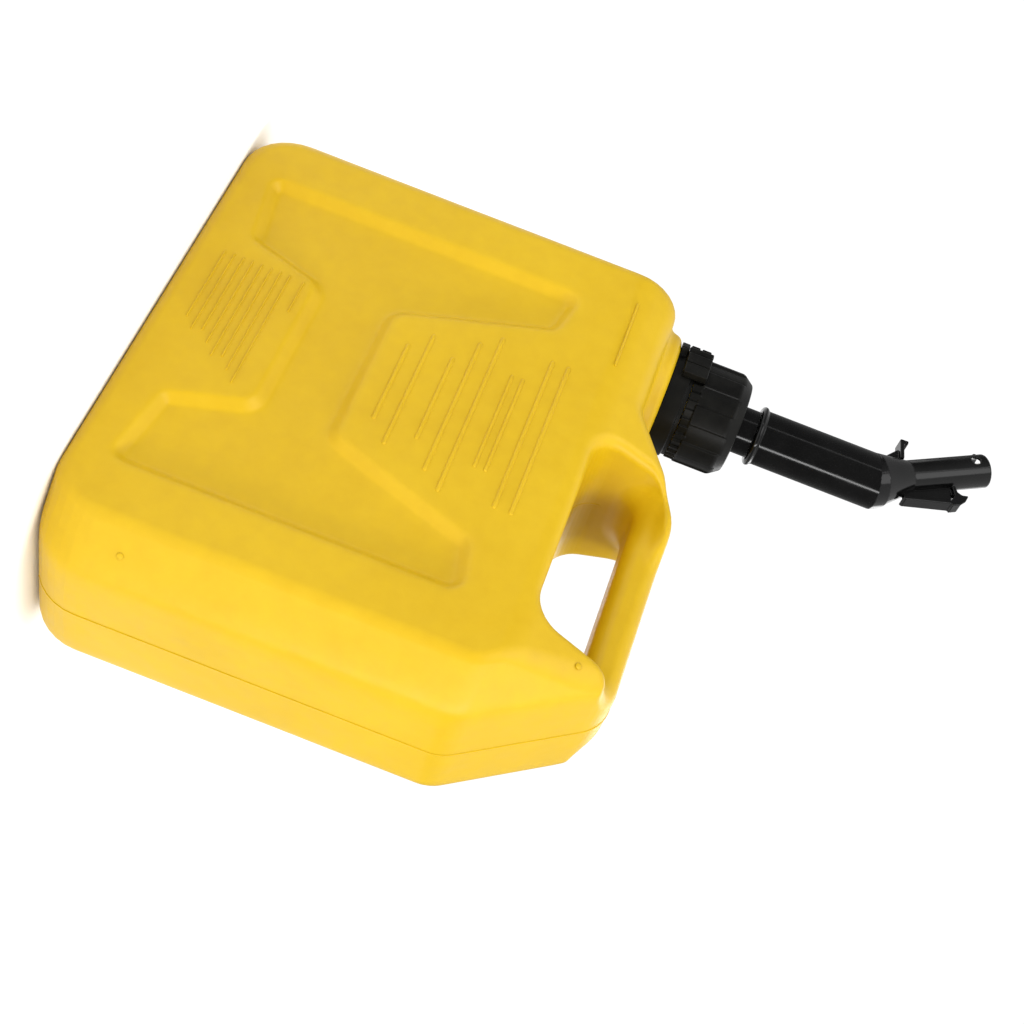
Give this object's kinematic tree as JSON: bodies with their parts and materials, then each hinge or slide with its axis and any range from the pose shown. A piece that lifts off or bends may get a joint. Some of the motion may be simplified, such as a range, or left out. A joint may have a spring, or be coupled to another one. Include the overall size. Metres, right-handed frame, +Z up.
{
  "type": "safety gas can",
  "caption": "Yellow blow-moulded fuel can with an integral top handle and a black screw-on pourer whose sprung sleeve opens a valve when pushed down.",
  "frame": {"origin": "middle of the tank's footprint, on the surface it stands on", "axes": "+Z up, +X from the neck towards the far end of the handle, the front panel faces -Y"},
  "size_m": [0.28, 0.1062, 0.4037],
  "materials": {
    "tank_hdpe": "blow-moulded satin polyethylene",
    "satin_black": "fine-textured injection-moulded polypropylene",
    "gloss_black": "polished injection-moulded polyethylene",
    "natural_acetal": "natural acetal",
    "steel": "drawn stainless steel",
    "seal_rubber": "nitrile rubber"
  },
  "bodies": {
    "can": {"tank": "tank_hdpe", "lock_ring": "satin_black", "lever_pin": "steel"},
    "lever": {"release_lever": "satin_black"},
    "pourer": {"stem_tube": "gloss_black", "neck_gasket": "seal_rubber", "flame_screen": "steel", "lower_o_ring": "seal_rubber", "upper_o_ring": "seal_rubber", "rod_guide": "natural_acetal", "valve_rod": "steel", "valve_plug": "natural_acetal", "valve_seal": "seal_rubber", "return_spring": "steel"},
    "screw_collar": {"collar": "satin_black"},
    "spout": {"sleeve": "gloss_black", "nozzle": "gloss_black", "rim_hook": "gloss_black", "rim_catch": "gloss_black", "vent_tube": "natural_acetal", "spring_seat": "natural_acetal", "throat_seat": "natural_acetal"}
  },
  "joints": [
    {"name": "pourer_lift", "type": "slide", "parent": "can", "child": "pourer", "axis": [0, 0, 1], "range_m": [0, 0.01]},
    {"name": "collar_turn", "type": "hinge", "parent": "pourer", "child": "screw_collar", "pos_m": [-0.0955, 0, 0.25], "axis": [0, 0, 1], "range_deg": [0, 721]},
    {"name": "sleeve_slide", "type": "slide", "parent": "pourer", "child": "spout", "axis": [0, 0, 1], "range_m": [-0.008, 0], "stiffness_N_per_m": 500, "springref_m": 0.004, "deforming": ["return_spring"]},
    {"name": "lever_press", "type": "hinge", "parent": "can", "child": "lever", "pos_m": [-0.10921, -0.02578, 0.24], "axis": [0, 0, 1], "range_deg": [-4, 0], "stiffness_Nm_per_rad": 0.02, "springref_deg": 2.86}
  ],
  "couplings": [
    {"joint": "collar_turn", "follows": "pourer_lift", "rad_per_m": 1256.6}
  ]
}
